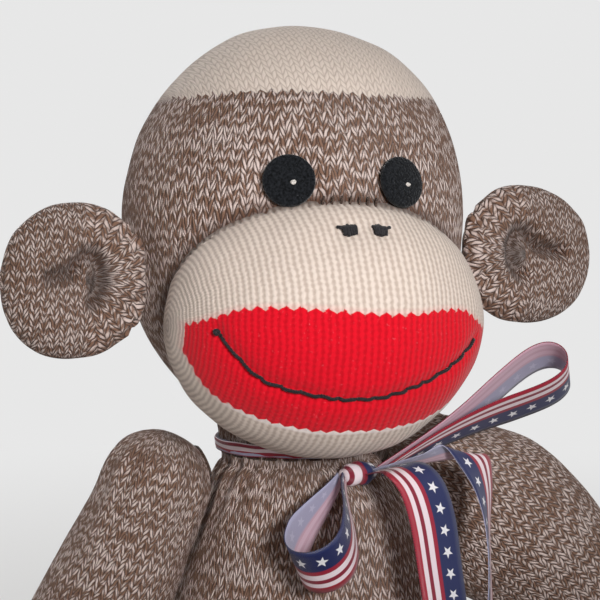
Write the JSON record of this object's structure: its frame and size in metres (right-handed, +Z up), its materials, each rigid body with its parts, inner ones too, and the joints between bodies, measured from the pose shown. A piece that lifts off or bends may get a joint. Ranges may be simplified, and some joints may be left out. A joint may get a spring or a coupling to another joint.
{
  "type": "sock monkey doll",
  "caption": "Seated stuffed monkey doll sewn from marled socks, with a red-lipped cream muzzle, felt eyes, round ears, limbs, tail and a ribbon bow.",
  "frame": {"origin": "middle of the flat seat that the doll sits on", "axes": "+Z up along the body, the doll faces -Y and its left side is +X"},
  "size_m": [0.321, 0.4242, 0.295],
  "materials": {
    "marl_knit": "brown and cream marl stockinette, matt",
    "cream_knit": "cream stockinette, matt",
    "red_knit": "red stockinette, matt",
    "filling": "white fibre filling, hidden",
    "black_felt": "black wool felt",
    "white_thread": "white thread knot",
    "black_thread": "black embroidery thread",
    "brown_thread": "dark brown sewing thread",
    "ribbon": "printed satin, stars and stripes on one face, pale on the other"
  },
  "bodies": {
    "torso": {"body_knit": "marl_knit", "seat_patch": "red_knit", "body_stuffing": "filling"},
    "collar": {"neck_gather_thread": "brown_thread", "ribbon_neck_band": "ribbon", "ribbon_knot": "ribbon", "ribbon_loop_left": "ribbon", "ribbon_loop_right": "ribbon", "ribbon_tail_left": "ribbon", "ribbon_tail_right": "ribbon"},
    "head": {"head_knit": "marl_knit", "head_cap": "cream_knit", "head_stuffing": "filling", "muzzle_knit": "cream_knit", "mouth_patch": "red_knit", "muzzle_stuffing": "filling", "mouth_line_thread": "black_thread", "nostril_left": "black_thread", "nostril_right": "black_thread", "muzzle_seam_thread": "brown_thread", "eye_disc_left": "black_felt", "eye_disc_right": "black_felt", "eye_sparkle_left": "white_thread", "eye_sparkle_right": "white_thread"},
    "ear_left": {"ear_left": "marl_knit", "ear_stuffing_left": "filling"},
    "ear_right": {"ear_right": "marl_knit", "ear_stuffing_right": "filling"},
    "shoulder_left": {"shoulder_stitches_left": "brown_thread"},
    "shoulder_right": {"shoulder_stitches_right": "brown_thread"},
    "arm_left": {"arm_left": "marl_knit", "hand_left": "cream_knit", "arm_stuffing_left": "filling"},
    "arm_right": {"arm_right": "marl_knit", "hand_right": "cream_knit", "arm_stuffing_right": "filling"},
    "leg_left": {"leg_left": "marl_knit", "foot_left": "cream_knit", "leg_stuffing_left": "filling"},
    "leg_right": {"leg_right": "marl_knit", "foot_right": "cream_knit", "leg_stuffing_right": "filling"},
    "tail_root": {"tail_stitches": "brown_thread"},
    "tail": {"tail": "marl_knit", "tail_tip": "cream_knit", "tail_stuffing": "filling"}
  },
  "joints": [
    {"name": "neck_turn", "type": "hinge", "parent": "torso", "child": "collar", "pos_m": [0, 0, 0.174], "axis": [0, 0, 1], "range_deg": [-25, 12]},
    {"name": "head_nod", "type": "hinge", "parent": "collar", "child": "head", "pos_m": [0, 0, 0.174], "axis": [1, 0, 0], "range_deg": [-18, 0]},
    {"name": "ear_fold_left", "type": "hinge", "parent": "head", "child": "ear_left", "pos_m": [0.05631, -0.015, 0.2245], "axis": [0, 0, 1], "range_deg": [-35, 35]},
    {"name": "ear_fold_right", "type": "hinge", "parent": "head", "child": "ear_right", "pos_m": [-0.0563, -0.015, 0.2175], "axis": [0, 0, 1], "range_deg": [-35, 35]},
    {"name": "arm_swing_left", "type": "hinge", "parent": "torso", "child": "shoulder_left", "pos_m": [0.04663, 0, 0.154], "axis": [-0.9222, 0, -0.3867], "range_deg": [-40, 48]},
    {"name": "arm_raise_left", "type": "hinge", "parent": "shoulder_left", "child": "arm_left", "pos_m": [0.04663, 0, 0.154], "axis": [0, -1, 0], "range_deg": [0, 22]},
    {"name": "hip_swing_left", "type": "hinge", "parent": "torso", "child": "leg_left", "pos_m": [0.0245, -0.036, 0.02092], "axis": [1, 0, 0], "range_deg": [-20, 90]},
    {"name": "arm_swing_right", "type": "hinge", "parent": "torso", "child": "shoulder_right", "pos_m": [-0.04663, 0, 0.154], "axis": [-0.9222, 0, 0.3867], "range_deg": [-40, 95]},
    {"name": "arm_raise_right", "type": "hinge", "parent": "shoulder_right", "child": "arm_right", "pos_m": [-0.04663, 0, 0.154], "axis": [0, 1, 0], "range_deg": [0, 70]},
    {"name": "hip_swing_right", "type": "hinge", "parent": "torso", "child": "leg_right", "pos_m": [-0.0245, -0.036, 0.02092], "axis": [1, 0, 0], "range_deg": [-20, 90]},
    {"name": "tail_wag", "type": "hinge", "parent": "torso", "child": "tail_root", "pos_m": [0, 0.05251, 0.0097], "axis": [0, 0, 1], "range_deg": [-35, 35]},
    {"name": "tail_lift", "type": "hinge", "parent": "tail_root", "child": "tail", "pos_m": [0, 0.05251, 0.0097], "axis": [1, 0, 0], "range_deg": [0, 50]}
  ]
}
